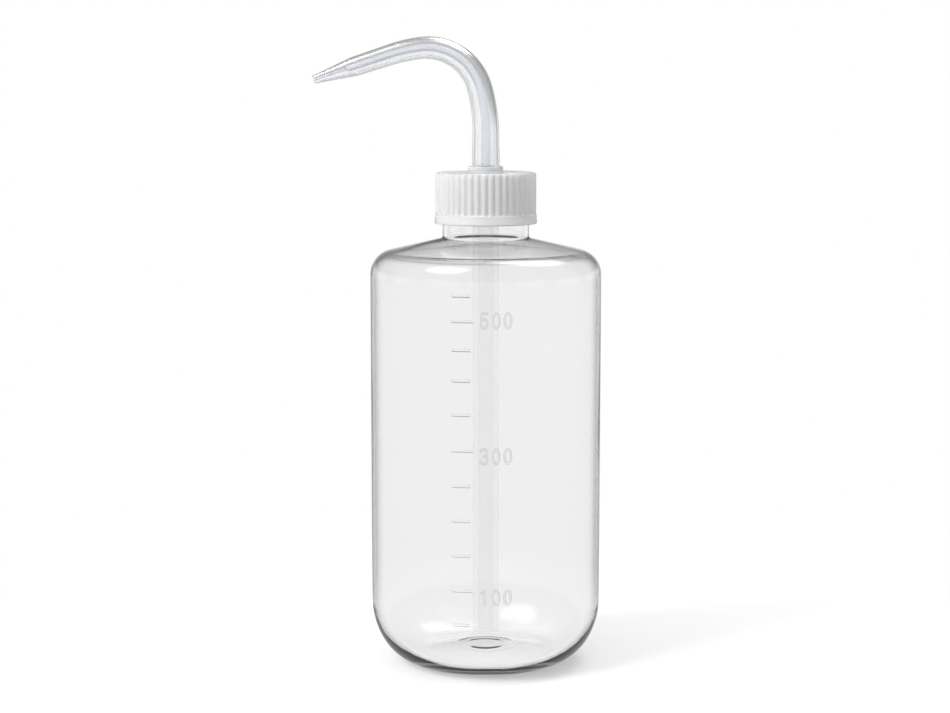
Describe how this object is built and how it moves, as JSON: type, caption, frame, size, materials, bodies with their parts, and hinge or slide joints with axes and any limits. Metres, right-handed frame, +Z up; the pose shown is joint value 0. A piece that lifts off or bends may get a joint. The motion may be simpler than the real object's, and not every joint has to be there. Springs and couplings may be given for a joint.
{
  "type": "wash bottle",
  "caption": "Clear squeeze wash bottle with a ribbed screw cap, a stopper, a bent tapering spout and a dip tube, with an embossed graduation on the front.",
  "frame": {"origin": "centre of the standing ring under the bottle, on the bottle's axis", "axes": "+Z up along the bottle's axis; the graduation faces -Y; the spout points towards -X at rest"},
  "size_m": [0.0933, 0.0751, 0.2042],
  "materials": {
    "clear_bottle": "clear, glossy",
    "cap_plastic": "translucent natural, satin gloss",
    "stopper_plastic": "translucent natural, satin",
    "tube_plastic": "translucent natural, satin gloss"
  },
  "bodies": {
    "bottle": {"bottle": "clear_bottle"},
    "stopper": {"stopper": "stopper_plastic", "dip_tube": "tube_plastic"},
    "cap": {"screw_cap": "cap_plastic"},
    "spout": {"spout": "tube_plastic"}
  },
  "joints": [
    {"name": "closure_rise", "type": "slide", "parent": "bottle", "child": "stopper", "axis": [0, 0, 1], "range_m": [0, 0.0063]},
    {"name": "cap_turn", "type": "hinge", "parent": "stopper", "child": "cap", "pos_m": [0, 0, 0.15], "axis": [0, 0, 1], "range_deg": [0, 540]},
    {"name": "spout_swivel", "type": "hinge", "parent": "stopper", "child": "spout", "pos_m": [0, 0, 0.155], "axis": [0, 0, 1], "continuous": true}
  ],
  "couplings": [
    {"joint": "closure_rise", "follows": "cap_turn", "m_per_rad": 0.00066845}
  ]
}
